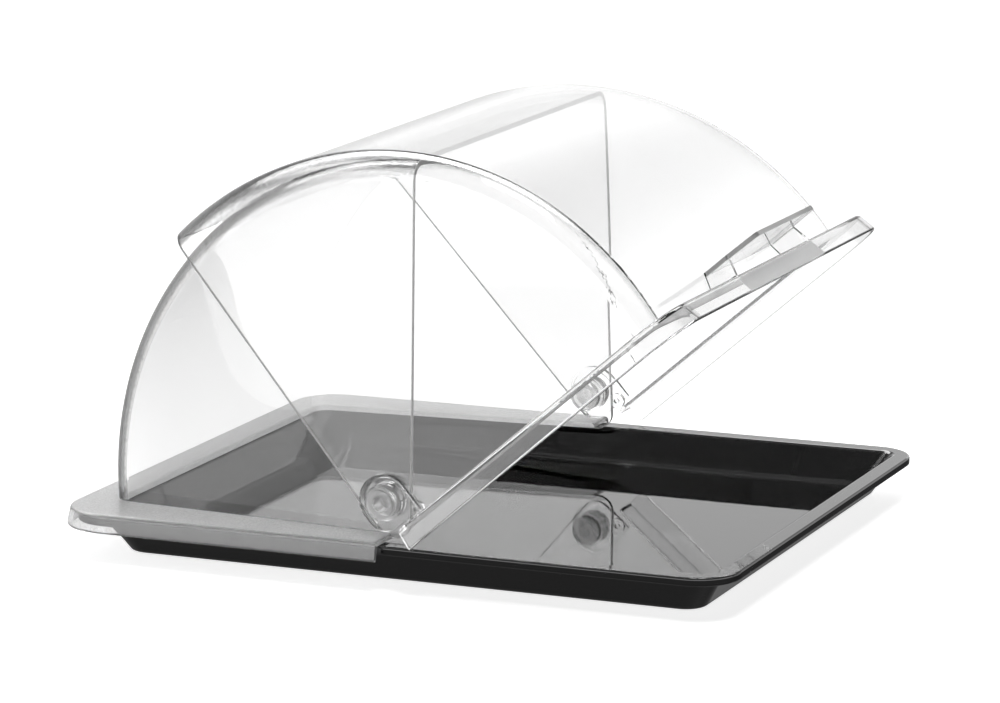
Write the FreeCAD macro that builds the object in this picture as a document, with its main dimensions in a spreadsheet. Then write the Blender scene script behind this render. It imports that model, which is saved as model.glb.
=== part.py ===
import FreeCAD, Part
import Sketcher
import math
import os

# Roll-top display case: a tray, a fixed rear hood that sits on the tray's rim, and a front
# hood that rolls back over the rear one about two snap studs.
# Frame: X to the front, Z up, origin on the ground below the middle of the rim. The two hoods are
# drawn closed about the pivot axis, which runs along Y, and are then placed on the tray.

LENGTHS = {
    # Tray
    "tray_length": 325.0,
    "tray_width": 265.0,
    "tray_height": 20.0,
    "tray_corner": 20.0,
    "rim_width": 9.0,
    "rear_ledge": 6.2,
    "rim_edge": 4.2,
    "rim_edge_round": 1.2,
    "well_mouth_round": 2.0,
    "well_corner": 9.0,
    "tray_floor": 2.0,
    "well_floor_round": 4.0,
    "tray_wall": 3.3,
    "tray_base_round": 3.0,
    "foot_height": 1.1,
    "foot_inset": 5.0,
    # Both hoods
    "hood_wall": 2.2,
    "seat_gap": 0.3,
    "skirt_overhang": 3.5,
    "skirt_foot_round": 0.9,
    "flange_round": 2.0,
    "pivot_back": 4.5,
    "pivot_rise": 17.4,
    # Rear hood
    "nest_gap": 0.7,
    "rear_centre_ahead": 7.7,
    "rear_centre_below": 1.2,
    "rear_corner": 9.0,
    "rear_edge_ahead": 12.0,
    "rear_wall_inset": 15.2,
    "rear_toe_round": 8.0,
    "rear_skirt_drop": 6.3,
    "rim_end_gap": 2.2,
    "ear_radius": 3.8,
    "ear_proud": 2.5,
    "ear_below": 2.5,
    "ear_hole_radius": 1.2,
    # Front hood
    "front_wall_setback": 10.7,
    "front_corner": 10.5,
    "front_edge_behind": 9.8,
    "front_rim_start": 4.5,
    "front_wall_inset": 10.6,
    "front_skirt_drop": 7.9,
    "lug_radius": 12.3,
    "lug_ahead": 1.6,
    "lug_wall": 1.7,
    "lug_lift": 2.2,
    "lug_heel_round": 9.0,
    "lug_plate": 2.4,
    # Handle
    "handle_foot_half": 47.5,
    "handle_end_lean": 6.0,
    "handle_drop": 4.5,
    "handle_plate": 2.2,
    "visor_overhang": 15.9,
    "visor_inset": 4.2,
    "visor_corner": 3.0,
    # Pivots
    "boss_radius": 8.5,
    "boss_proud": 3.9,
    "boss_length": 7.4,
    "shank_radius": 4.0,
    "running_clearance": 0.06,
    "head_radius": 7.6,
    "head_edge": 1.5,
    "head_step": 1.1,
    "ring_rise": 1.0,
    "dimple_radius": 3.2,
    "dimple_depth": 1.1,
    "cap_radius": 7.2,
    "cap_thickness": 3.2,
    "cap_floor": 1.2,
    "cap_edge_round": 0.8,
    "pivot_gap": 0.3,
    "cap_gap": 0.05,
    # Cuts run past what they cut by this much
    "overrun": 6.0,
}

ANGLES = {
    "side_slope_angle": 23.6,
    "end_slope_angle": 32.5,
    "skirt_flare_angle": 12.8,
    "open_angle": 40.42,
    "rear_draft_angle": 3.07,
    "rear_taper_angle": 3.93,
    "front_draft_angle": 3.32,
    "front_taper_angle": 1.15,
}

# Worked out from the sizes above
DERIVED = {
    # Tray
    "tray_half_length": "tray_length / 2",
    "tray_half_width": "tray_width / 2",
    "rim_under": "tray_height - rim_edge",
    "well_floor": "foot_height + tray_floor",
    "well_depth": "tray_height - well_floor",
    "end_run": "tray_height * tan(end_slope_angle * 1 deg)",
    "side_run": "tray_height * tan(side_slope_angle * 1 deg)",
    "well_half_length": "tray_half_length - rim_width - end_run",
    "well_half_width": "tray_half_width - rim_width - side_run",
    "well_rear_reach": "well_half_length - rear_ledge",
    "shell_height": "rim_under - foot_height",
    "shell_half_length": "well_half_length + tray_wall",
    "shell_half_width": "well_half_width + tray_wall",
    "shell_rear_reach": "well_rear_reach + tray_wall",
    "shell_corner": "well_corner + tray_wall",
    "foot_half_length": "shell_half_length - foot_inset",
    "foot_half_width": "shell_half_width - foot_inset",
    "foot_rear_reach": "shell_rear_reach - foot_inset",
    # Heights below the pivot axis, and the rim of the hoods
    "pivot_height": "tray_height + pivot_rise",
    "hood_foot": "pivot_rise - seat_gap",
    "flange_top": "hood_foot - hood_wall",
    "rear_skirt_foot": "pivot_rise + rear_skirt_drop",
    "rear_skirt_height": "rear_skirt_foot - flange_top",
    "rear_skirt_depth": "rear_skirt_foot - hood_foot",
    "front_skirt_foot": "pivot_rise + front_skirt_drop",
    "front_skirt_height": "front_skirt_foot - flange_top",
    "front_skirt_depth": "front_skirt_foot - hood_foot",
    "skirt_half_width": "tray_half_width + skirt_overhang",
    "skirt_inner_half_width": "skirt_half_width - hood_wall",
    "skirt_corner": "tray_corner + skirt_overhang",
    "skirt_inner_corner": "skirt_corner - hood_wall",
    "rear_skirt_reach": "tray_half_length + skirt_overhang - pivot_back",
    "rear_skirt_inner_reach": "rear_skirt_reach - hood_wall",
    "front_skirt_reach": "tray_half_length + skirt_overhang + pivot_back",
    "front_skirt_inner_reach": "front_skirt_reach - hood_wall",
    "rear_rim_end": "front_rim_start - rim_end_gap",
    "rear_rim_open": "rear_rim_end + overrun",
    "front_rim_open": "front_rim_start - overrun",
    # Walls of the hoods, outside and inside
    "front_radius": "tray_half_length + pivot_back - front_wall_setback",
    "front_inner_radius": "front_radius - hood_wall",
    "front_half_width": "tray_half_width - front_wall_inset",
    "front_inner_half_width": "front_half_width - hood_wall",
    "front_inner_corner": "front_corner - hood_wall",
    "rear_radius": "front_inner_radius - nest_gap",
    "rear_inner_radius": "rear_radius - hood_wall",
    "rear_half_width": "tray_half_width - rear_wall_inset",
    "rear_inner_half_width": "rear_half_width - hood_wall",
    "rear_inner_corner": "rear_corner - hood_wall",
    "ear_ahead": "rear_edge_ahead + ear_proud",
    "hood_inner_foot": "hood_foot + overrun",
    "rear_inner_edge": "ear_ahead + ear_radius + overrun",
    "front_inner_edge": "lug_radius + overrun",
    # Blocks that the hoods are cut from
    "block_reach": "front_radius + rear_centre_ahead + overrun",
    "block_foot": "hood_inner_foot + overrun",
    "block_top": "front_radius + overrun",
    "block_height": "block_foot + block_top",
    "frame_reach": "block_reach + overrun",
    "frame_foot": "block_foot + overrun",
    "frame_top": "block_top + overrun",
    "frame_span": "2 * frame_reach",
    # Pivots, outwards along the axis
    "boss_face": "rear_half_width + boss_proud",
    "boss_inner_face": "boss_face - boss_length",
    "boss_span": "2 * boss_face",
    "boss_inner_span": "2 * boss_inner_face",
    "boss_clear_radius": "boss_radius + overrun",
    "lug_inner_face": "boss_face + pivot_gap",
    "lug_outer_face": "lug_inner_face + lug_plate",
    "lug_span": "2 * lug_outer_face",
    "lug_inner_span": "2 * lug_inner_face",
    "lug_foot": "flange_top - lug_lift",
    "lug_rear_reach": "lug_radius - lug_ahead",
    "lug_inner_radius": "lug_radius - lug_wall",
    "lug_inner_foot": "lug_foot + overrun",
    "pivot_hole_radius": "shank_radius + running_clearance",
    "head_seat": "lug_outer_face + pivot_gap",
    "head_ring_radius": "head_radius - head_step",
    "head_rise": "head_edge + ring_rise",
    "dimple_floor": "head_rise - dimple_depth",
    "cap_seat": "boss_inner_face - cap_gap",
    "cap_bore_depth": "cap_thickness - cap_floor",
    "shank_length": "head_seat - cap_seat + cap_bore_depth - cap_gap",
    # Handle, below the pivot axis and ahead of it
    "handle_root": "front_inner_radius - overrun",
    "handle_length": "front_skirt_reach - handle_root",
    "handle_underside": "handle_drop + handle_plate",
    "handle_foot": "flange_top + hood_wall / 2",
    "handle_top_half": "handle_foot_half - handle_end_lean",
    "handle_lean": "handle_end_lean / (flange_top - handle_drop)",
    "handle_low_half": "handle_foot_half + handle_lean * (handle_foot - flange_top)",
    "handle_low_inner_half": "handle_low_half - handle_plate",
    "handle_top_inner_half": "handle_top_half + handle_lean * handle_plate - handle_plate",
    "visor_reach": "front_skirt_reach + visor_overhang",
    "visor_half": "handle_top_half - visor_inset",
}

# Share of the seat gap within which two places count as one
SAME_PLACE_SHARE = 0.01

doc = FreeCAD.newDocument("RollTopDisplayCase")
sheet = doc.addObject("Spreadsheet::Sheet", "Sizes")


def fill_sheet():
    cells = {alias: str(number) for alias, number in {**LENGTHS, **ANGLES}.items()}
    cells.update({alias: "=" + formula for alias, formula in DERIVED.items()})
    for row, (alias, text) in enumerate(cells.items(), start=1):
        sheet.set("A%d" % row, alias)
        sheet.set("B%d" % row, text)
        sheet.setAlias("B%d" % row, alias)
    doc.recompute()


def size(cell):
    """Number in the cell, turned round where the cell's name has a minus before it."""
    if cell.startswith("-"):
        return -sheet.get(cell[1:])
    return sheet.get(cell)


def ref(cell):
    """The same cell, as an expression."""
    if cell.startswith("-"):
        return "-Sizes." + cell[1:]
    return "Sizes." + cell


def new_body(name):
    return doc.addObject("PartDesign::Body", name)


def new_sketch(body, name, plane, lift=None):
    sketch = body.newObject("Sketcher::SketchObject", name)
    support = next(item for item in body.Origin.OriginFeatures if item.Role == plane)
    sketch.AttachmentSupport = [(support, "")]
    sketch.MapMode = "FlatFace"
    if lift:
        sketch.setExpression("AttachmentOffset.Base.z", ref(lift))
    return sketch


def hold(sketch, kind, geometry, point, cell):
    """Hold one coordinate of a point at a cell's value."""
    number = sketch.addConstraint(Sketcher.Constraint(kind, -1, 1, geometry, point, size(cell)))
    sketch.setExpression("Constraints[%d]" % number, ref(cell))


def polygon(sketch, corners):
    """Closed outline through corners, each a pair of cells; None is a zero."""
    spots = [FreeCAD.Vector(size(x) if x else 0, size(y) if y else 0, 0) for x, y in corners]
    first = sketch.GeometryCount
    for here, there in zip(spots, spots[1:] + spots[:1]):
        sketch.addGeometry(Part.LineSegment(here, there), False)
    for index, (x, y) in enumerate(corners):
        line = first + index
        following = first + (index + 1) % len(corners)
        sketch.addConstraint(Sketcher.Constraint("Coincident", line, 2, following, 1))
        if x:
            hold(sketch, "DistanceX", line, 1, x)
        else:
            sketch.addConstraint(Sketcher.Constraint("PointOnObject", line, 1, -2))
        if y:
            hold(sketch, "DistanceY", line, 1, y)
        else:
            sketch.addConstraint(Sketcher.Constraint("PointOnObject", line, 1, -1))


def rectangle(sketch, left, right, low, high):
    polygon(sketch, [(left, low), (right, low), (right, high), (left, high)])


def rounded_rectangle(sketch, half_length, half_width, corner):
    """Closed outline about the origin: four corner arcs, anticlockwise, and the sides between."""
    quarter = math.pi / 2
    arcs = []
    for turn, (x_sign, y_sign) in enumerate(((1, 1), (-1, 1), (-1, -1), (1, -1))):
        middle = FreeCAD.Vector(x_sign * (size(half_length) - size(corner)),
                                y_sign * (size(half_width) - size(corner)), 0)
        circle = Part.Circle(middle, FreeCAD.Vector(0, 0, 1), size(corner))
        arcs.append(Part.ArcOfCircle(circle, turn * quarter, (turn + 1) * quarter))
    for arc in arcs:
        sketch.addGeometry(arc, False)
    for arc, following in zip(arcs, arcs[1:] + arcs[:1]):
        sketch.addGeometry(Part.LineSegment(arc.EndPoint, following.StartPoint), False)
    sides = (("Horizontal", "DistanceY", half_width), ("Vertical", "DistanceX", "-" + half_length),
             ("Horizontal", "DistanceY", "-" + half_width), ("Vertical", "DistanceX", half_length))
    for arc, (way, kind, cell) in enumerate(sides):
        line = len(arcs) + arc
        sketch.addConstraint(Sketcher.Constraint("Tangent", arc, 2, line, 1))
        sketch.addConstraint(Sketcher.Constraint("Tangent", line, 2, (arc + 1) % len(arcs), 1))
        sketch.addConstraint(Sketcher.Constraint(way, line))
        hold(sketch, kind, line, 1, cell)
        if arc:
            sketch.addConstraint(Sketcher.Constraint("Equal", 0, arc))
    bend = sketch.addConstraint(Sketcher.Constraint("Radius", 0, size(corner)))
    sketch.setExpression("Constraints[%d]" % bend, ref(corner))


def pad(body, name, sketch, length, symmetric=False):
    feature = body.newObject("PartDesign::Pad", name)
    feature.Profile = sketch
    feature.setExpression("Length", ref(length))
    if symmetric:
        feature.SideType = "Symmetric"
    doc.recompute()
    return feature


def pocket(body, name, sketch, length, symmetric=False, upward=False):
    before = body.Shape.Volume
    feature = body.newObject("PartDesign::Pocket", name)
    feature.Profile = sketch
    feature.setExpression("Length", ref(length))
    feature.Reversed = upward
    if symmetric:
        feature.SideType = "Symmetric"
    doc.recompute()
    if not feature.Shape.Volume < before:
        raise RuntimeError(name + " cuts nothing")
    return feature


def fillet(body, name, base, edges, radius):
    names = ["Edge%d" % (index + 1) for index, edge in enumerate(base.Shape.Edges)
             if any(edge.isSame(chosen) for chosen in edges)]
    if not names:
        raise RuntimeError(name + " has no edge")
    feature = body.newObject("PartDesign::Fillet", name)
    feature.Base = (base, names)
    feature.setExpression("Radius", ref(radius))
    doc.recompute()
    return feature


def near(first, second):
    return math.isclose(first, second, abs_tol=size("seat_gap") * SAME_PLACE_SHARE)


def is_curved(edge):
    ends = edge.Vertexes
    return not near(edge.Length, ends[0].Point.distanceToPoint(ends[-1].Point))


def upright_edges(feature, low, high):
    """Edges that climb from one height to another."""
    return [edge for edge in feature.Shape.Edges
            if near(edge.BoundBox.ZMin, low) and near(edge.BoundBox.ZMax, high)]


def level_face(feature, height):
    """Largest flat face at a height."""
    faces = [face for face in feature.Shape.Faces
             if near(face.BoundBox.ZMin, height) and near(face.BoundBox.ZMax, height)]
    return max(faces, key=lambda face: face.Area)


def cylinder(name, radius, span, ahead=None, below=None):
    """Round bar across the case, as long as span, centred on the middle plane."""
    bar = doc.addObject("Part::Cylinder", name)
    bar.Placement.Rotation = FreeCAD.Rotation(FreeCAD.Vector(1, 0, 0), 90)
    bar.setExpression("Radius", ref(radius))
    bar.setExpression("Height", ref(span))
    bar.setExpression("Placement.Base.y", ref(span) + " / 2")
    if ahead:
        bar.setExpression("Placement.Base.x", ref(ahead))
    if below:
        bar.setExpression("Placement.Base.z", "-" + ref(below))
    return bar


def fuse(name, pieces):
    feature = doc.addObject("Part::MultiFuse", name)
    feature.Shapes = pieces
    feature.Refine = True
    doc.recompute()
    return feature


def cut(name, base, tool):
    feature = doc.addObject("Part::Cut", name)
    feature.Base = base
    feature.Tool = tool
    feature.Refine = True
    doc.recompute()
    return feature


def place_on_pivot(feature, side=None, turn=None):
    """Move a piece from the pivot frame to the tray, out along the axis or turned about it."""
    feature.setExpression("Placement.Base.x", "-Sizes.pivot_back")
    feature.setExpression("Placement.Base.z", "Sizes.pivot_height")
    if side:
        feature.setExpression("Placement.Base.y", ref(side))
    if turn:
        feature.Placement.Rotation = FreeCAD.Rotation(FreeCAD.Vector(0, -1, 0), size(turn))
        feature.setExpression("Placement.Rotation.Angle", ref(turn))


def faces_between(feature, low, high):
    """Faces that climb from one height to another."""
    return [face for face in feature.Shape.Faces
            if near(face.BoundBox.ZMin, low) and near(face.BoundBox.ZMax, high)]


def lies_at(shape, ahead):
    return near(shape.BoundBox.XMin, size(ahead)) and near(shape.BoundBox.XMax, size(ahead))


def walls(feature, low, high, way):
    """Flat walls from one height to another that face along x or y."""
    other = "y" if way == "x" else "x"
    return [face for face in faces_between(feature, low, high)
            if abs(getattr(face.normalAt(0, 0), way)) > abs(getattr(face.normalAt(0, 0), other))]


def face_names(base, faces):
    return ["Face%d" % (index + 1) for index, face in enumerate(base.Shape.Faces)
            if any(face.isSame(chosen) for chosen in faces)]


def lean(body, name, base, faces, angle, outward=False, level=None):
    """Draft walls inwards as they rise, or outwards.

    They keep their place at a level face, or at the origin's level where none is given.
    """
    feature = body.newObject("PartDesign::Draft", name)
    feature.Base = (base, face_names(base, faces))
    if level:
        feature.NeutralPlane = (base, face_names(base, [level]))
    else:
        plane = next(item for item in body.Origin.OriginFeatures if item.Role == "XY_Plane")
        feature.NeutralPlane = (plane, [""])
    feature.Reversed = outward
    feature.setExpression("Angle", ref(angle))
    doc.recompute()
    return feature


def lean_tray_walls(body, name, base, low, high, corner, outward=False):
    """Slope the ends and the sides, and round the corners between them."""
    ends = lean(body, name + "Ends", base, walls(base, low, high, "x"), "end_slope_angle", outward)
    sides = lean(body, name + "Sides", ends, walls(ends, low, high, "y"), "side_slope_angle", outward)
    return fillet(body, name + "Corners", sides, upright_edges(sides, low, high), corner)


def make_tray():
    body = new_body("Tray")
    outline = new_sketch(body, "ShellOutline", "XY_Plane", "foot_height")
    rectangle(outline, "-shell_rear_reach", "shell_half_length", "-shell_half_width", "shell_half_width")
    shell = pad(body, "Shell", outline, "shell_height")
    shell = lean_tray_walls(body, "Shell", shell, size("foot_height"), size("rim_under"),
                            "shell_corner", outward=True)
    base = level_face(shell, size("foot_height")).Edges
    fillet(body, "ShellBaseRound", shell, base, "tray_base_round")

    outline = new_sketch(body, "FootOutline", "XY_Plane")
    rectangle(outline, "-foot_rear_reach", "foot_half_length", "-foot_half_width", "foot_half_width")
    foot = pad(body, "Foot", outline, "foot_height")
    fillet(body, "FootCorners", foot, upright_edges(foot, 0, size("foot_height")), "well_corner")

    outline = new_sketch(body, "RimOutline", "XY_Plane", "rim_under")
    rounded_rectangle(outline, "tray_half_length", "tray_half_width", "tray_corner")
    rim = pad(body, "Rim", outline, "rim_edge")
    edges = level_face(rim, size("tray_height")).OuterWire.Edges
    edges += level_face(rim, size("rim_under")).OuterWire.Edges
    fillet(body, "RimEdgeRound", rim, edges, "rim_edge_round")

    outline = new_sketch(body, "WellOutline", "XY_Plane", "well_floor")
    rectangle(outline, "-well_rear_reach", "well_half_length", "-well_half_width", "well_half_width")
    well = pocket(body, "Well", outline, "well_depth", upward=True)
    well = lean_tray_walls(body, "Well", well, size("well_floor"), size("tray_height"), "well_corner")
    floor = level_face(well, size("well_floor")).OuterWire.Edges
    well = fillet(body, "WellFloorRound", well, floor, "well_floor_round")
    top = level_face(well, size("tray_height"))
    mouth = [edge for wire in top.Wires if not wire.isSame(top.OuterWire) for edge in wire.Edges]
    fillet(body, "WellMouthRound", well, mouth, "well_mouth_round")
    return body


def tapered_plan(sketch, closed_side, half_width, taper):
    """Plan of a hood's block, which narrows towards the closed side."""
    narrowing = "Sizes.block_reach * tan(%s * 1 deg)" % ref(taper)
    change = size("block_reach") * math.tan(math.radians(size(taper)))
    open_x = -closed_side * size("block_reach")
    corners = [(1, -1), (-1, -1), (-1, 1), (1, 1)]
    points = [FreeCAD.Vector(end * open_x, side * (size(half_width) + end * change), 0)
              for end, side in corners]
    for here, there in zip(points, points[1:] + points[:1]):
        sketch.addGeometry(Part.LineSegment(here, there), False)
    for line, (end, side) in enumerate(corners):
        point = points[line]
        sketch.addConstraint(Sketcher.Constraint("Coincident", line, 2, (line + 1) % len(corners), 1))
        along = sketch.addConstraint(Sketcher.Constraint("DistanceX", -1, 1, line, 1, point.x))
        sketch.setExpression("Constraints[%d]" % along, "%d * Sizes.block_reach" % (-closed_side * end))
        across = sketch.addConstraint(Sketcher.Constraint("DistanceY", -1, 1, line, 1, point.y))
        sketch.setExpression("Constraints[%d]" % across, "%d * (%s + %d * %s)" % (
            side, ref(half_width), end, narrowing))


def hood_core(name, closed_side, angles, radius, half_width, corner, edge, foot, centre=None, ear=None):
    """Solid hood: a block with leaning sides, trimmed to a quarter-round side view.

    The closed side is 1 to the front and -1 to the rear. The cells give the angles that narrow
    the hood towards its closed side and towards its top, the roof's radius, half the width at
    the pivot, the roof's corner radius, the open edge, the foot, the roof's centre, and the
    place and radius of an ear on the open edge.
    """
    body = new_body(name)
    plan = new_sketch(body, name + "Plan", "XY_Plane", "-block_foot")
    taper, draft = angles
    tapered_plan(plan, closed_side, half_width, taper)
    block = pad(body, name + "Block", plan, "block_height")
    sides = walls(block, -size("block_foot"), size("block_top"), "y")
    lean(body, name + "Lean", block, sides, draft)

    profile = new_sketch(body, name + "Profile", "XZ_Plane")
    hood_profile(profile, closed_side, radius, edge, foot, centre, ear)
    rectangle(profile, "-frame_reach", "frame_reach", "-frame_foot", "frame_top")
    trimmed = pocket(body, name + "Trim", profile, "frame_span", symmetric=True)
    ridges = [item for item in trimmed.Shape.Edges
              if is_curved(item) and item.Length > size(radius)]
    fillet(body, name + "Corners", trimmed, ridges, corner)
    return body


def profile_ear(sketch, front, edge, corner, top, ear):
    """Break the open edge for a round ear, and return the edge's upper part."""
    ahead, level, radius = ear
    half = math.sqrt(size(radius) ** 2 - (size(ahead) - corner.x) ** 2)
    middle = FreeCAD.Vector(size(ahead), size(level), 0)
    under = FreeCAD.Vector(corner.x, middle.y - half, 0)
    over = FreeCAD.Vector(corner.x, middle.y + half, 0)
    reach = FreeCAD.Vector(middle.x + size(radius), middle.y, 0)
    sketch.moveGeometry(front, 2, under, 0)
    bend = sketch.addGeometry(Part.Arc(under, reach, over), False)
    upper = sketch.addGeometry(Part.LineSegment(over, top), False)
    sketch.addConstraint(Sketcher.Constraint("Coincident", front, 2, bend, 1))
    sketch.addConstraint(Sketcher.Constraint("Coincident", bend, 2, upper, 1))
    sketch.addConstraint(Sketcher.Constraint("Vertical", upper))
    curve = sketch.addConstraint(Sketcher.Constraint("Radius", bend, size(radius)))
    sketch.setExpression("Constraints[%d]" % curve, ref(radius))
    hold(sketch, "DistanceX", bend, 3, ahead)
    hold(sketch, "DistanceY", bend, 3, level)
    hold(sketch, "DistanceX", upper, 1, edge)
    return upper


def hood_profile(sketch, closed_side, radius, edge, foot, centre, ear):
    """Side view of a hood: the roof's arc, the foot line and the open edge with its ear."""
    middle = FreeCAD.Vector(size(centre[0]), size(centre[1]), 0) if centre else FreeCAD.Vector()
    rise = math.acos((size(edge) - middle.x) / size(radius))
    fall = math.asin((size(foot) - middle.y) / size(radius))
    circle = Part.Circle(middle, FreeCAD.Vector(0, 0, 1), size(radius))
    if closed_side > 0:
        arc = Part.ArcOfCircle(circle, fall, rise)
        low, top = arc.StartPoint, arc.EndPoint
    else:
        arc = Part.ArcOfCircle(circle, rise, math.pi - fall)
        low, top = arc.EndPoint, arc.StartPoint
    corner = FreeCAD.Vector(size(edge), size(foot), 0)
    roof = sketch.addGeometry(arc, False)
    base = sketch.addGeometry(Part.LineSegment(low, corner), False)
    front = sketch.addGeometry(Part.LineSegment(corner, top), False)
    sketch.addConstraint(Sketcher.Constraint("Coincident", roof, 1 if closed_side > 0 else 2, base, 1))
    sketch.addConstraint(Sketcher.Constraint("Coincident", base, 2, front, 1))
    if ear:
        front_end = profile_ear(sketch, front, edge, corner, top, ear)
    else:
        front_end = front
    sketch.addConstraint(Sketcher.Constraint("Coincident", front_end, 2, roof, 2 if closed_side > 0 else 1))
    sketch.addConstraint(Sketcher.Constraint("Horizontal", base))
    sketch.addConstraint(Sketcher.Constraint("Vertical", front))
    hold(sketch, "DistanceX", front, 1, edge)
    hold(sketch, "DistanceY", front, 1, foot)
    bend = sketch.addConstraint(Sketcher.Constraint("Radius", roof, size(radius)))
    sketch.setExpression("Constraints[%d]" % bend, ref(radius))
    if centre:
        hold(sketch, "DistanceX", roof, 3, centre[0])
        hold(sketch, "DistanceY", roof, 3, centre[1])
    else:
        sketch.addConstraint(Sketcher.Constraint("Coincident", roof, 3, -1, 1))


def rim_outline(sketch, closed, end, half_width, corner):
    """Outline of a hood's rim: round corners at its closed side and a straight open end."""
    side = math.copysign(1, size(closed))
    first_side = "-" + half_width if side > 0 else half_width
    last_side = half_width if side > 0 else "-" + half_width
    middle_x = size(closed) - side * size(corner)
    middle_y = side * (size(half_width) - size(corner))
    middles = [FreeCAD.Vector(middle_x, way * middle_y, 0) for way in (-1, 1)]
    quarter = math.pi / 2
    arcs = []
    for turn, middle in enumerate(middles):
        circle = Part.Circle(middle, FreeCAD.Vector(0, 0, 1), size(corner))
        start = (turn - side) * quarter
        arcs.append(Part.ArcOfCircle(circle, start, start + quarter))
    start = FreeCAD.Vector(size(end), size(first_side), 0)
    finish = FreeCAD.Vector(size(end), size(last_side), 0)
    chain = [Part.LineSegment(start, arcs[0].StartPoint), arcs[0],
             Part.LineSegment(arcs[0].EndPoint, arcs[1].StartPoint), arcs[1],
             Part.LineSegment(arcs[1].EndPoint, finish), Part.LineSegment(finish, start)]
    for piece in chain:
        sketch.addGeometry(piece, False)
    first, bend, back, other_bend, last, mouth = range(len(chain))
    for here, there in ((first, bend), (bend, back), (back, other_bend), (other_bend, last)):
        sketch.addConstraint(Sketcher.Constraint("Tangent", here, 2, there, 1))
    sketch.addConstraint(Sketcher.Constraint("Coincident", last, 2, mouth, 1))
    sketch.addConstraint(Sketcher.Constraint("Coincident", mouth, 2, first, 1))
    for line in (first, last):
        sketch.addConstraint(Sketcher.Constraint("Horizontal", line))
    for line in (back, mouth):
        sketch.addConstraint(Sketcher.Constraint("Vertical", line))
    sketch.addConstraint(Sketcher.Constraint("Equal", bend, other_bend))
    radius = sketch.addConstraint(Sketcher.Constraint("Radius", bend, size(corner)))
    sketch.setExpression("Constraints[%d]" % radius, ref(corner))
    hold(sketch, "DistanceX", first, 1, end)
    hold(sketch, "DistanceY", first, 1, first_side)
    hold(sketch, "DistanceX", back, 1, closed)
    hold(sketch, "DistanceY", last, 1, last_side)


def hood_rim(name, skirt, closed, closed_inner, end, end_open):
    """Flange that rests on the tray's rim, with a flared skirt outside the rim and a bare open end."""
    body = new_body(name)
    skirt_foot, skirt_height, skirt_depth = skirt
    outline = new_sketch(body, name + "Outline", "XY_Plane", "-" + skirt_foot)
    rim_outline(outline, closed, end, "skirt_half_width", "skirt_corner")
    rim = pad(body, name + "Slab", outline, skirt_height)
    foot, top = -size(skirt_foot), -size("flange_top")
    outside = [face for face in faces_between(rim, foot, top) if not lies_at(face, end)]
    rim = lean(body, name + "Flare", rim, outside, "skirt_flare_angle", level=level_face(rim, top))
    rim = fillet(body, name + "TopRound", rim, level_face(rim, top).OuterWire.Edges, "flange_round")
    hollow = new_sketch(body, name + "Inside", "XY_Plane", "-" + skirt_foot)
    rim_outline(hollow, closed_inner, end_open, "skirt_inner_half_width", "skirt_inner_corner")
    rim = pocket(body, name + "Hollow", hollow, skirt_depth, upward=True)
    inside = faces_between(rim, foot, -size("hood_foot"))
    rim = lean(body, name + "HollowFlare", rim, inside, "skirt_flare_angle", True, level_face(rim, top))
    edges = [edge for edge in level_face(rim, foot).Edges if not lies_at(edge, end)]
    fillet(body, name + "FootRound", rim, edges, "skirt_foot_round")
    return body


def make_rear_hood():
    centre = ("rear_centre_ahead", "-rear_centre_below")
    angles = ("rear_taper_angle", "rear_draft_angle")
    outer = hood_core("RearOuter", -1, angles, "rear_radius", "rear_half_width", "rear_corner",
                      "rear_edge_ahead", "-hood_foot", centre,
                      ("ear_ahead", "-ear_below", "ear_radius"))
    toe = [edge for edge in outer.Tip.Shape.Edges
           if near(edge.BoundBox.ZMin, -size("hood_foot"))
           and near(edge.BoundBox.ZMax, -size("hood_foot"))
           and near(edge.BoundBox.XMin, size("rear_edge_ahead"))]
    fillet(outer, "RearToe", outer.Tip, toe, "rear_toe_round")
    inner = hood_core("RearInner", -1, angles, "rear_inner_radius", "rear_inner_half_width",
                      "rear_inner_corner", "rear_inner_edge", "-hood_inner_foot", centre)
    rim = hood_rim("RearRim", ("rear_skirt_foot", "rear_skirt_height", "rear_skirt_depth"),
                   "-rear_skirt_reach", "-rear_skirt_inner_reach", "rear_rim_end", "rear_rim_open")
    shell = cut("RearShell", fuse("RearSolid", [outer, rim]), inner)
    bosses = cut("Bosses", cylinder("BossBar", "boss_radius", "boss_span"),
                 cylinder("BossGap", "boss_clear_radius", "boss_inner_span"))
    holes = fuse("RearHoles", [
        cylinder("RearPivotHole", "pivot_hole_radius", "frame_span"),
        cylinder("EarHole", "ear_hole_radius", "frame_span", "ear_ahead", "ear_below")])
    hood = cut("RearHood", fuse("RearMoulding", [shell, bosses]), holes)
    place_on_pivot(hood)
    return hood


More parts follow.
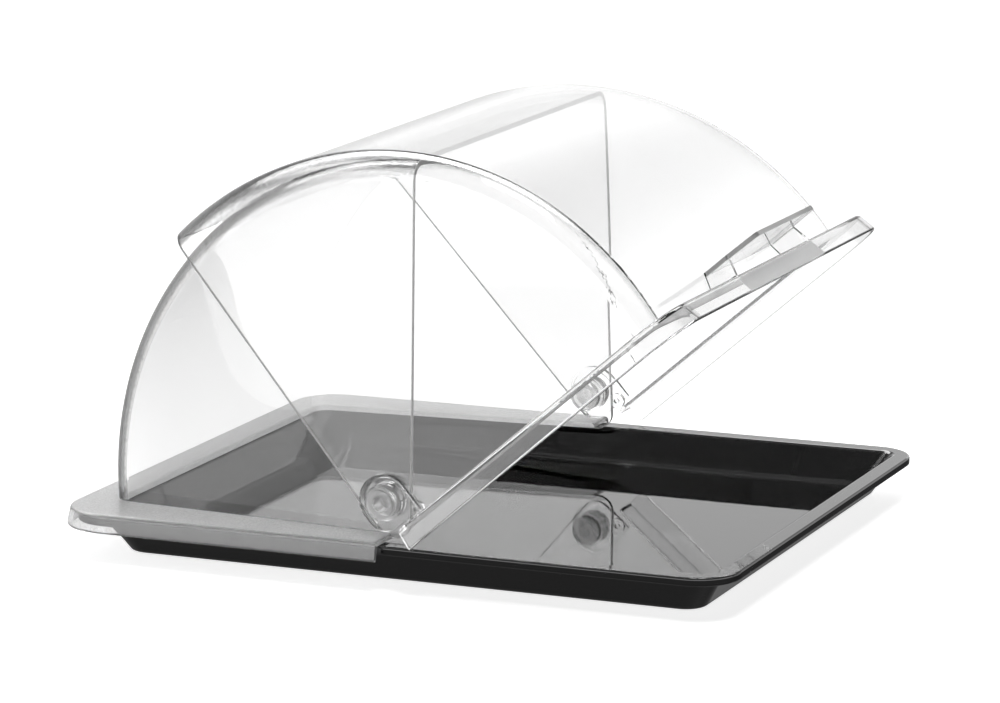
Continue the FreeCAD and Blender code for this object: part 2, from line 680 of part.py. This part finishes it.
def lug_bar(name, radius, foot, span):
    """Bar across the hood with a round top level with the pivot and straight sides down to its foot."""
    body = new_body(name)
    sketch = new_sketch(body, name + "Outline", "XZ_Plane")
    reach = FreeCAD.Vector(size(radius), 0, 0)
    drop = FreeCAD.Vector(0, size(foot), 0)
    middle = FreeCAD.Vector(size("lug_ahead"), 0, 0)
    circle = Part.Circle(middle, FreeCAD.Vector(0, 0, 1), size(radius))
    top = sketch.addGeometry(Part.ArcOfCircle(circle, 0, math.pi), False)
    rear = sketch.addGeometry(Part.LineSegment(middle - reach, middle + drop - reach), False)
    base = sketch.addGeometry(Part.LineSegment(middle + drop - reach, middle + drop + reach), False)
    front = sketch.addGeometry(Part.LineSegment(middle + drop + reach, middle + reach), False)
    hold(sketch, "DistanceX", top, 3, "lug_ahead")
    sketch.addConstraint(Sketcher.Constraint("PointOnObject", top, 3, -1))
    sketch.addConstraint(Sketcher.Constraint("Tangent", top, 2, rear, 1))
    sketch.addConstraint(Sketcher.Constraint("Coincident", rear, 2, base, 1))
    sketch.addConstraint(Sketcher.Constraint("Coincident", base, 2, front, 1))
    sketch.addConstraint(Sketcher.Constraint("Tangent", front, 2, top, 1))
    sketch.addConstraint(Sketcher.Constraint("Horizontal", base))
    sketch.addConstraint(Sketcher.Constraint("Vertical", rear))
    bend = sketch.addConstraint(Sketcher.Constraint("Radius", top, size(radius)))
    sketch.setExpression("Constraints[%d]" % bend, ref(radius))
    hold(sketch, "DistanceY", base, 1, foot)
    pad(body, name + "Pad", sketch, span, symmetric=True)
    return body


def make_handle():
    """Finger hold on the front flange: two leaning end walls under a plate that juts out."""
    body = new_body("Handle")
    arch = new_sketch(body, "HandleArch", "YZ_Plane", "handle_root")
    polygon(arch, [
        ("-handle_low_half", "-handle_foot"), ("-handle_low_inner_half", "-handle_foot"),
        ("-handle_top_inner_half", "-handle_underside"), ("handle_top_inner_half", "-handle_underside"),
        ("handle_low_inner_half", "-handle_foot"), ("handle_low_half", "-handle_foot"),
        ("handle_top_half", "-handle_drop"), ("-handle_top_half", "-handle_drop")])
    pad(body, "HandleEnds", arch, "handle_length")
    plate = new_sketch(body, "VisorOutline", "XY_Plane", "-handle_underside")
    polygon(plate, [
        ("handle_root", "-handle_top_half"), ("front_skirt_reach", "-handle_top_half"),
        ("visor_reach", "-visor_half"), ("visor_reach", "visor_half"),
        ("front_skirt_reach", "handle_top_half"), ("handle_root", "handle_top_half")])
    visor = pad(body, "Visor", plate, "handle_plate")
    corners = [edge for edge in upright_edges(visor, -size("handle_underside"), -size("handle_drop"))
               if near(edge.CenterOfMass.x, size("visor_reach"))]
    fillet(body, "VisorCorners", visor, corners, "visor_corner")
    return body


def make_front_hood():
    angles = ("front_taper_angle", "front_draft_angle")
    outer = hood_core("FrontOuter", 1, angles, "front_radius", "front_half_width", "front_corner",
                      "-front_edge_behind", "-hood_foot")
    relief = new_sketch(outer, "LugRelief", "XZ_Plane")
    polygon(relief, [("-frame_reach", None), ("-frame_reach", "-frame_foot"),
                     ("front_rim_start", "-frame_foot"), ("front_rim_start", None)])
    pocket(outer, "LugReliefCut", relief, "frame_span", symmetric=True)
    inner = hood_core("FrontInner", 1, angles, "front_inner_radius", "front_inner_half_width",
                      "front_inner_corner", "-front_inner_edge", "-hood_inner_foot")
    rim = hood_rim("FrontRim", ("front_skirt_foot", "front_skirt_height", "front_skirt_depth"),
                   "front_skirt_reach", "front_skirt_inner_reach", "front_rim_start", "front_rim_open")
    lug = lug_bar("Lug", "lug_radius", "-lug_foot", "lug_span")
    heel = [edge for edge in lug.Tip.Shape.Edges
            if near(edge.BoundBox.ZMax, -size("lug_foot"))
            and near(edge.BoundBox.XMax, -size("lug_rear_reach"))]
    fillet(lug, "LugHeel", lug.Tip, heel, "lug_heel_round")
    lug_inside = lug_bar("LugInside", "lug_inner_radius", "-lug_inner_foot", "lug_inner_span")
    hole = cylinder("FrontPivotHole", "pivot_hole_radius", "frame_span")
    solid = fuse("FrontSolid", [outer, rim, lug, make_handle()])
    hollow = fuse("FrontHollow", [inner, lug_inside, hole])
    hood = cut("FrontHood", solid, hollow)
    place_on_pivot(hood, turn="open_angle")
    return hood


def turned_piece(name, profile):
    """Round piece about the pivot axis; the profile's cells are radius and distance outwards."""
    body = new_body(name)
    sketch = new_sketch(body, name + "Profile", "XY_Plane")
    polygon(sketch, profile)
    turn = body.newObject("PartDesign::Revolution", name + "Turn")
    turn.Profile = sketch
    turn.ReferenceAxis = (sketch, ["V_Axis"])
    turn.Angle = 360
    doc.recompute()
    return body


def make_stud(name):
    return turned_piece(name, [
        (None, "-shank_length"), ("shank_radius", "-shank_length"), ("shank_radius", None),
        ("head_radius", None), ("head_radius", "head_edge"), ("head_ring_radius", "head_edge"),
        ("head_ring_radius", "head_rise"), ("dimple_radius", "head_rise"),
        ("dimple_radius", "dimple_floor"), (None, "dimple_floor")])


def make_cap(name):
    cap = turned_piece(name, [
        (None, "-cap_thickness"), ("cap_radius", "-cap_thickness"), ("cap_radius", None),
        ("pivot_hole_radius", None), ("pivot_hole_radius", "-cap_bore_depth"),
        (None, "-cap_bore_depth")])
    rim = [edge for edge in cap.Tip.Shape.Edges if near(edge.BoundBox.YMax, -size("cap_thickness"))]
    fillet(cap, name + "EdgeRound", cap.Tip, rim, "cap_edge_round")
    return cap


def make_pivots():
    """A stud through each lug and boss, and the cap that holds it inside the rear hood."""
    pieces = {}
    for side, sign, turn in (("left", "", 0), ("right", "-", 180)):
        for kind, make, seat in (("stud", make_stud, "head_seat"), ("cap", make_cap, "cap_seat")):
            piece = make("Pivot" + kind.title() + side.title())
            piece.Placement.Rotation = FreeCAD.Rotation(FreeCAD.Vector(0, 0, 1), turn)
            place_on_pivot(piece, side=sign + seat)
            pieces["pivot_%s_%s" % (kind, side)] = piece
    return pieces


def check_and_write(pieces):
    doc.recompute()
    for item in doc.Objects:
        if "Invalid" in item.State or "Error" in item.State:
            raise RuntimeError(item.Name + " failed")
    for name, piece in pieces.items():
        piece.Label = name
        if piece.Shape.isNull() or not piece.Shape.isValid() or len(piece.Shape.Solids) != 1:
            raise RuntimeError(name + " has no sound solid")
    os.makedirs("parts", exist_ok=True)
    for name, piece in pieces.items():
        piece.Shape.exportStep("parts/%s.step" % name)


fill_sheet()
parts = {"tray": make_tray(), "rear_hood": make_rear_hood(), "front_hood": make_front_hood()}
parts.update(make_pivots())
check_and_write(parts)
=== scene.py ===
import math

import bpy
from mathutils import Matrix, Vector

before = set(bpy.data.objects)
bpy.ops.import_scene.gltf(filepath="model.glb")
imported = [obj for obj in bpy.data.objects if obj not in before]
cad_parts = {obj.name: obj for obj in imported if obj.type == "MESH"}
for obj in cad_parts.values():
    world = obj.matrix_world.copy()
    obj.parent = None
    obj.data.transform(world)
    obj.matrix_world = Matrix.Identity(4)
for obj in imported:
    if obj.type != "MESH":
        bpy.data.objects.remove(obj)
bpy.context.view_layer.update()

# Lengths are in metres and angles in degrees. The frame is the part's own: X to the open
# front, Z up, and the tray's base on the floor at the origin.

# Camera at the photograph's place
CAMERA_AZIMUTH = 23.8535
CAMERA_ELEVATION = 12.0266
CAMERA_ROLL = -0.5699
CAMERA_DISTANCE = 2.0664555
CAMERA_TARGET = Vector((-0.000865, 0.0, 0.082273))
CAMERA_LENS = 158.87
CAMERA_SENSOR = 36.0

# Room: a pale floor, lit a little from below, under a soft overhead light. Each pair is the sine
# of a height above the horizon and the room's tone there: on the side that the camera faces, at the
# right of that, on the camera's own side, and on a white card there that ends towards its left.
FLOOR_SIZE = 24.0
FLOOR_TONE = 0.92
FLOOR_GLOW = 0.9
SOFTBOX_SIZE = 1.0
SOFTBOX_PLACE = (0.3, -0.25, 3.2)
SOFTBOX_POWER = 28.0
FAR_TONES = ((-1.0, 0.25), (-0.34, 0.25), (-0.27, 0.9), (-0.05, 0.9), (0.06, 1.2), (0.34, 1.2), (0.42, 0.5),
             (0.56, 0.5), (0.6, 8.0), (0.8, 8.0), (0.85, 0.6), (1.0, 0.6))
FLANK_TONES = ((-1.0, 0.1), (-0.05, 0.1), (0.06, 1.2), (0.34, 1.2), (0.42, 0.5), (1.0, 0.5))
NEAR_TONES = ((-1.0, 0.22), (-0.6, 0.22), (-0.3, 1.0), (-0.04, 1.0), (0.03, 2.6), (0.25, 2.6),
              (0.32, 0.3), (0.6, 0.25), (0.72, 0.6), (1.0, 0.6))
CARD_TONES = ((-1.0, 0.22), (-0.6, 0.22), (-0.21, 0.3), (-0.17, 3.0), (0.1, 3.0), (0.16, 3.6),
              (0.25, 3.6), (0.32, 0.3), (0.6, 0.25), (0.72, 0.6), (1.0, 0.6))
SIDE_BLEND = (-0.35, 0.35)
FLANK_BLEND = (0.3, 0.5)
CARD_EDGE = 29.0
CARD_BLEND = (-0.015, 0.035)

# Clear plastic: its tone against how far it turns from the eye, darkened there as painted shade, and
# the same with a painted dark line where a hood's wall bends into its roof, and absorption per metre
EDGE_SHADE_TONES = ((0.0, 0.95), (0.65, 0.92), (0.8, 0.82), (0.9, 0.72), (1.0, 0.4))
BEND_SHADE_TONES = ((0.0, 0.98), (0.18, 0.85), (0.28, 0.15), (0.5, 0.03), (0.8, 0.03), (1.0, 0.02))
DEPTH_DENSITY = 5.0

# Hoods about the pivot axis, turned as they lie when closed: the turn, the way that the closed side
# faces, the roof's centre, radius and corner, the side walls' place and lean, the open edge, and any
# distances ahead between which the painted dark line at the bend fades
PIVOT = Vector((-0.0045, 0.0, 0.0374))
HOODS = {
    "rear_hood": {"turn": 0.0, "side": -1, "centre": (0.0077, -0.0012), "radius": 0.1534,
                  "corner": 0.009, "half_width": 0.1173, "draft": 3.07, "taper": 3.93,
                  "edge": 0.012, "fade": None},
    "front_hood": {"turn": 40.42, "side": 1, "centre": (0.0, 0.0), "radius": 0.1563,
                   "corner": 0.0105, "half_width": 0.1219, "draft": 3.32, "taper": 1.15,
                   "edge": -0.0098, "fade": (0.08, 0.115)},
}
# Share of the bend's painted dark line that is left past the fade
FADED_SHARE = 0.4
EDGE_DEPTH = 0.0003
FLANGE_TOP = -0.0149
SKIRT_FOOT = -0.0253
HANDLE_LEVEL = -0.0056
HANDLE_HALF_THICKNESS = 0.0011
HANDLE_START = 0.157
SKIRT_REACH = 0.1705
GRIP_HALF = 0.0475

# Hoods' small zones: tone, roughness and share of light let through; the tones of all but the grip are
# painted light and shade
# painted grey shade on the hood's open edge
OPEN_EDGE_PAINTED_SHADE = (0.5, 0.3, 0.35)
# painted light on the handle plate's edge behind the skirt
PLATE_ROOT_PAINTED_LIGHT = (0.95, 0.4, 0.3)
# painted grey shade on the handle plate's edge past the skirt
PLATE_EDGE_PAINTED_SHADE = (0.5, 0.3, 0.35)
GRIP_FINISH = (0.85, 0.3, 0.5)
# painted dark line along the skirt's foot
SKIRT_FOOT_PAINTED_SHADE = (0.3, 0.1, 1.0)

# Rear flange and skirt: the tone, with painted light and shade, against the upward part of the face's
# direction, the roughness and the share of light let through, and the frosting's grain
RIM_PAINTED_LIGHT_TONES = ((0.0, 0.72), (0.25, 0.6), (0.45, 0.4), (0.8, 0.45), (0.93, 0.9), (1.0, 0.9))
SKIRT_ROUGHNESS, SKIRT_CLEAR = 0.05, 0.92
FROST_ROUGHNESS, FROST_CLEAR = 0.34, 0.4
GRAIN_SCALE = 1400.0
GRAIN_TONES = (0.8, 1.15)
GRAIN_STRENGTH = 0.5
GRAIN_DEPTH = 0.0002


class Nodes:
    """Shader nodes of one tree, with short calls to add and link them."""

    def __init__(self, tree):
        self.tree = tree
        tree.nodes.clear()

    def add(self, kind, **settings):
        node = self.tree.nodes.new("ShaderNode" + kind)
        for name, value in settings.items():
            setattr(node, name, value)
        return node

    def link(self, source, target):
        self.tree.links.new(source, target)

    def set(self, node, **values):
        for name, value in values.items():
            node.inputs[name.replace("_", " ")].default_value = value

    def fill(self, sockets, values):
        for socket, value in zip(sockets, values):
            if isinstance(value, (int, float)):
                socket.default_value = value
            else:
                self.link(value, socket)

    def math(self, operation, *values):
        node = self.add("Math", operation=operation)
        self.fill(node.inputs, values)
        return node.outputs[0]

    def mix(self, factor, first, second):
        node = self.add("Mix")
        self.fill((node.inputs["Factor"], node.inputs["A"], node.inputs["B"]), (factor, first, second))
        return node.outputs["Result"]

    def dot(self, vector, direction):
        node = self.add("VectorMath", operation="DOT_PRODUCT")
        self.link(vector, node.inputs[0])
        node.inputs[1].default_value = direction
        return node.outputs["Value"]

    def split(self, vector):
        node = self.add("SeparateXYZ")
        self.link(vector, node.inputs["Vector"])
        return node.outputs["X"], node.outputs["Y"], node.outputs["Z"]

    def noise(self, scale, detail, vector):
        node = self.add("TexNoise")
        self.set(node, Scale=scale, Detail=detail)
        self.link(vector, node.inputs["Vector"])
        return node.outputs["Fac"]

    def span(self, value, low, high, to_low, to_high):
        node = self.add("MapRange")
        node.clamp = True
        limits = {"From Min": low, "From Max": high, "To Min": to_low, "To Max": to_high}
        for name, number in limits.items():
            node.inputs[name].default_value = number
        self.link(value, node.inputs["Value"])
        return node.outputs["Result"]

    def tones(self, value, stops):
        """Grey against a value from nought to one."""
        ramp = self.add("ValToRGB")
        elements = ramp.color_ramp.elements
        while len(elements) < len(stops):
            elements.new(1.0)
        for element, (place, grey) in zip(elements, stops):
            element.position = place
            element.color = (grey, grey, grey, 1.0)
        self.link(value, ramp.inputs["Fac"])
        return ramp.outputs["Color"]

    def facing(self):
        return self.add("LayerWeight").outputs["Facing"]

    def bump(self, height, strength, distance):
        node = self.add("Bump")
        self.fill((node.inputs["Strength"], node.inputs["Distance"]), (strength, distance))
        self.link(height, node.inputs["Height"])
        return node.outputs["Normal"]


def new_material(name):
    material = bpy.data.materials.new(name)
    material.use_nodes = True
    nodes = Nodes(material.node_tree)
    shader = nodes.add("BsdfPrincipled")
    output = nodes.add("OutputMaterial")
    nodes.link(shader.outputs["BSDF"], output.inputs["Surface"])
    place = nodes.add("TexCoord").outputs["Object"]
    return material, nodes, shader, place


def black_tray_material():
    material, nodes, shader, place = new_material("tray_black_gloss")
    nodes.set(shader, IOR=1.56, Metallic=0.0)
    cloud = nodes.noise(38.0, 3.0, place)
    nodes.link(nodes.tones(cloud, ((0.0, 0.002), (1.0, 0.004))), shader.inputs["Base Color"])
    nodes.link(nodes.span(cloud, 0.3, 0.7, 0.02, 0.045), shader.inputs["Roughness"])
    ripple = nodes.noise(120.0, 1.0, place)
    nodes.link(nodes.bump(ripple, 0.12, 0.00012), shader.inputs["Normal"])
    return material


def add_depth(nodes):
    """Faint grey through the plastic's depth."""
    depth = nodes.add("VolumeAbsorption")
    nodes.set(depth, Color=(0.0, 0.0, 0.0, 1.0), Density=DEPTH_DENSITY)
    output = next(node for node in nodes.tree.nodes if node.type == "OUTPUT_MATERIAL")
    nodes.link(depth.outputs["Volume"], output.inputs["Volume"])


def pivot_material():
    """Clear moulding with a soft surface, with painted shade darkening it where it is seen edge on."""
    material, nodes, shader, place = new_material("pivot_clear_moulding")
    nodes.set(shader, IOR=1.5, Transmission_Weight=0.82)
    cloud = nodes.noise(60.0, 2.0, place)
    # painted shade: the tone darkens where the face is seen edge on
    nodes.link(nodes.tones(nodes.facing(), EDGE_SHADE_TONES), shader.inputs["Base Color"])
    nodes.link(nodes.span(cloud, 0.3, 0.7, 0.17, 0.22), shader.inputs["Roughness"])
    add_depth(nodes)
    return material


def hood_bend(nodes, spot, hood):
    """One on the outside where a hood's side wall bends into its roof, and nought elsewhere: the place of
    the painted dark line.
    """
    x, y, z = spot
    ahead = nodes.math("SUBTRACT", x, hood["centre"][0])
    above = nodes.math("SUBTRACT", z, hood["centre"][1])
    square = nodes.math("MULTIPLY_ADD", ahead, ahead, nodes.math("MULTIPLY", above, above))
    radius = nodes.math("SQRT", square)
    lean = nodes.math("MULTIPLY_ADD", z, math.tan(math.radians(hood["draft"])), nodes.math("ABSOLUTE", y))
    lean = nodes.math("MULTIPLY_ADD", x, hood["side"] * math.tan(math.radians(hood["taper"])), lean)
    corner = hood["corner"]
    past_roof = nodes.math("MAXIMUM", nodes.math("SUBTRACT", radius, hood["radius"] - corner), 0.0)
    past_wall = nodes.math("MAXIMUM", nodes.math("SUBTRACT", lean, hood["half_width"] - corner), 0.0)
    square = nodes.math("MULTIPLY_ADD", past_roof, past_roof, nodes.math("MULTIPLY", past_wall, past_wall))
    outside = nodes.span(nodes.math("SQRT", square), corner - 0.0014, corner - 0.0008, 0.0, 1.0)
    by_roof = nodes.span(past_roof, 0.0, 0.0006, 0.0, 1.0)
    by_wall = nodes.span(past_wall, 0.0, 0.0006, 0.0, 1.0)
    bend = nodes.math("MULTIPLY", outside, nodes.math("MULTIPLY", by_roof, by_wall))
    if hood["fade"]:
        bend = nodes.math("MULTIPLY", bend, nodes.span(x, *hood["fade"], 1.0, FADED_SHARE))
    return bend


def handle_masks(nodes, spot, hood):
    """Masks of the handle plate's edges behind the skirt and past it, the grip and the skirt's foot."""
    x, y, z = spot
    turn = math.radians(hood["turn"])
    normal = nodes.add("TexCoord").outputs["Normal"]
    up = nodes.dot(normal, (-math.sin(turn), 0, math.cos(turn)))
    upright = nodes.span(nodes.math("ABSOLUTE", up), 0.5, 0.7, 1.0, 0.0)
    plate = nodes.math("MULTIPLY", upright, nodes.math("COMPARE", z, HANDLE_LEVEL, HANDLE_HALF_THICKNESS))
    plate = nodes.math("MULTIPLY", plate, nodes.math("GREATER_THAN", x, HANDLE_START))
    past = nodes.math("MULTIPLY", plate, nodes.math("GREATER_THAN", x, SKIRT_REACH - 0.001))
    behind = nodes.math("SUBTRACT", plate, past)
    front = nodes.span(nodes.dot(normal, (math.cos(turn), 0, math.sin(turn))), 0.5, 0.8, 0.0, 1.0)
    below = nodes.span(z, FLANGE_TOP - 0.0012, FLANGE_TOP - 0.0016, 0.0, 1.0)
    middle = nodes.math("COMPARE", y, 0.0, GRIP_HALF)
    grip = nodes.math("MULTIPLY", front, nodes.math("MULTIPLY", below, middle))
    foot = nodes.span(z, SKIRT_FOOT + 0.0005, SKIRT_FOOT + 0.0002, 0.0, 1.0)
    return behind, past, grip, foot


def hood_material(name, hood, frosted):
    """Clear moulding, with painted shade where it is seen edge on, a painted dark line at its bends,
    painted light and shade on its small zones, and a frosted flange with painted light and shade.
    """
    material, nodes, shader, place = new_material(name)
    nodes.set(shader, IOR=1.52)
    turned = nodes.add("VectorRotate", rotation_type="Y_AXIS")
    nodes.link(place, turned.inputs["Vector"])
    turned.inputs["Center"].default_value = PIVOT
    turned.inputs["Angle"].default_value = math.radians(hood["turn"])
    shifted = nodes.add("VectorMath", operation="SUBTRACT")
    nodes.link(turned.outputs["Vector"], shifted.inputs[0])
    shifted.inputs[1].default_value = PIVOT
    spot = nodes.split(shifted.outputs["Vector"])

    facing = nodes.facing()
    bend = hood_bend(nodes, spot, hood)
    # painted shade where the face is seen edge on, and a painted dark line where the wall bends into the
    # roof
    tone = nodes.mix(bend, nodes.tones(facing, EDGE_SHADE_TONES), nodes.tones(facing, BEND_SHADE_TONES))
    cloud = nodes.noise(24.0, 2.0, place)
    roughness = nodes.span(cloud, 0.3, 0.7, 0.0, 0.012)
    clear = 1.0
    edge = nodes.math("COMPARE", spot[0], hood["edge"], EDGE_DEPTH)
    # painted grey shade on the open edge, painted light and shade on the plate's edges and a painted dark
    # line on the skirt's foot; the grip is frosted
    zones = [(edge, OPEN_EDGE_PAINTED_SHADE)]
    if not frosted:
        behind, past, grip, foot = handle_masks(nodes, spot, hood)
        zones += [(behind, PLATE_ROOT_PAINTED_LIGHT), (past, PLATE_EDGE_PAINTED_SHADE), (grip, GRIP_FINISH),
                  (foot, SKIRT_FOOT_PAINTED_SHADE)]
    for zone, (zone_tone, zone_roughness, zone_clear) in zones:
        tone = nodes.mix(zone, tone, zone_tone)
        roughness = nodes.mix(zone, roughness, zone_roughness)
        clear = nodes.mix(zone, clear, zone_clear)
    if frosted:
        rim = nodes.span(spot[2], FLANGE_TOP + 0.0003, FLANGE_TOP + 0.0001, 0.0, 1.0)
        up = nodes.split(nodes.add("TexCoord").outputs["Normal"])[2]
        top = nodes.math("MULTIPLY", rim, nodes.span(up, 0.3, 0.8, 0.0, 1.0))
        skirt = nodes.math("SUBTRACT", rim, top)
        grain = nodes.noise(GRAIN_SCALE, 2.0, place)
        speckle = nodes.span(grain, 0.3, 0.7, *GRAIN_TONES)
        # painted light and shade: the tone follows how far the face turns up, times the frosting's grain
        rim_grain_and_painted_light = nodes.math("MULTIPLY", nodes.tones(up, RIM_PAINTED_LIGHT_TONES), speckle)
        tone = nodes.mix(rim, tone, rim_grain_and_painted_light)
        roughness = nodes.mix(top, nodes.mix(skirt, roughness, SKIRT_ROUGHNESS), FROST_ROUGHNESS)
        clear = nodes.mix(top, nodes.mix(skirt, clear, SKIRT_CLEAR), FROST_CLEAR)
        strength = nodes.math("MULTIPLY", top, GRAIN_STRENGTH)
        nodes.link(nodes.bump(grain, strength, GRAIN_DEPTH), shader.inputs["Normal"])
    nodes.link(clear, shader.inputs["Transmission Weight"])
    nodes.link(tone, shader.inputs["Base Color"])
    nodes.link(roughness, shader.inputs["Roughness"])
    add_depth(nodes)
    return material


def dress(node, material):
    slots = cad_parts[node].material_slots
    for slot in slots:
        slot.material = material


def make_floor():
    mesh = bpy.data.meshes.new("floor")
    half = FLOOR_SIZE / 2
    corners = [(-half, -half, 0), (half, -half, 0), (half, half, 0), (-half, half, 0)]
    mesh.from_pydata(corners, [], [(0, 1, 2, 3)])
    floor = bpy.data.objects.new("floor", mesh)
    bpy.context.collection.objects.link(floor)
    material, nodes, shader, place = new_material("floor_pale")
    nodes.set(shader, Roughness=0.7, Emission_Strength=FLOOR_GLOW)
    tone = nodes.tones(nodes.noise(1.2, 2.0, place), ((0.0, FLOOR_TONE), (1.0, FLOOR_TONE * 0.99)))
    nodes.link(tone, shader.inputs["Base Color"])
    nodes.link(tone, shader.inputs["Emission Color"])
    mesh.materials.append(material)
    floor.visible_glossy = False


def make_lights():
    data = bpy.data.lights.new("softbox", "AREA")
    data.shape = "SQUARE"
    data.size = SOFTBOX_SIZE
    data.energy = SOFTBOX_POWER
    light = bpy.data.objects.new("softbox", data)
    light.location = SOFTBOX_PLACE
    bpy.context.collection.objects.link(light)


def make_world():
    world = bpy.data.worlds.new("room")
    world.use_nodes = True
    bpy.context.scene.world = world
    world.cycles_visibility.diffuse = False
    nodes = Nodes(world.node_tree)
    direction = nodes.add("TexCoord").outputs["Generated"]
    height = nodes.span(nodes.split(direction)[2], -1.0, 1.0, 0.0, 1.0)
    near, card, far, flank = (nodes.tones(height, [((level + 1) / 2, grey) for level, grey in stops])
                              for stops in (NEAR_TONES, CARD_TONES, FAR_TONES, FLANK_TONES))
    azimuth = math.radians(CAMERA_AZIMUTH)
    away = nodes.dot(direction, (-math.sin(azimuth), math.cos(azimuth), 0))
    right = nodes.dot(direction, (math.cos(azimuth), math.sin(azimuth), 0))
    far = nodes.mix(nodes.span(right, *FLANK_BLEND, 0.0, 1.0), far, flank)
    edge = math.radians(CARD_EDGE)
    beyond = nodes.dot(direction, (-math.cos(edge), math.sin(edge), 0))
    near = nodes.mix(nodes.span(beyond, *CARD_BLEND, 0.0, 1.0), card, near)
    background = nodes.add("Background")
    tone = nodes.mix(nodes.span(away, *SIDE_BLEND, 0.0, 1.0), near, far)
    nodes.link(tone, background.inputs["Color"])
    output = nodes.add("OutputWorld")
    nodes.link(background.outputs["Background"], output.inputs["Surface"])


def make_camera():
    angles = (CAMERA_AZIMUTH, CAMERA_ELEVATION, CAMERA_ROLL)
    azimuth, elevation, roll = (math.radians(angle) for angle in angles)
    back = Vector((math.sin(azimuth) * math.cos(elevation), -math.cos(azimuth) * math.cos(elevation),
                   math.sin(elevation)))
    right = Vector((math.cos(azimuth), math.sin(azimuth), 0))
    up = back.cross(right)
    turned_right = math.cos(roll) * right + math.sin(roll) * up
    turned_up = math.cos(roll) * up - math.sin(roll) * right
    data = bpy.data.cameras.new("camera")
    data.lens = CAMERA_LENS
    data.sensor_width = CAMERA_SENSOR
    data.sensor_fit = "HORIZONTAL"
    camera = bpy.data.objects.new("camera", data)
    turn = Matrix((turned_right, turned_up, back)).transposed().to_4x4()
    camera.matrix_world = Matrix.Translation(CAMERA_TARGET + CAMERA_DISTANCE * back) @ turn
    bpy.context.collection.objects.link(camera)
    bpy.context.scene.camera = camera


make_camera()
make_world()
make_lights()
make_floor()
bpy.context.scene.view_settings.view_transform = "Standard"

dress("tray", black_tray_material())
dress("rear_hood", hood_material("rear_hood_clear", HOODS["rear_hood"], True))
dress("front_hood", hood_material("front_hood_clear", HOODS["front_hood"], False))
pivot_clear = pivot_material()
for node in ("pivot_stud_left", "pivot_stud_right", "pivot_cap_left", "pivot_cap_right"):
    dress(node, pivot_clear)
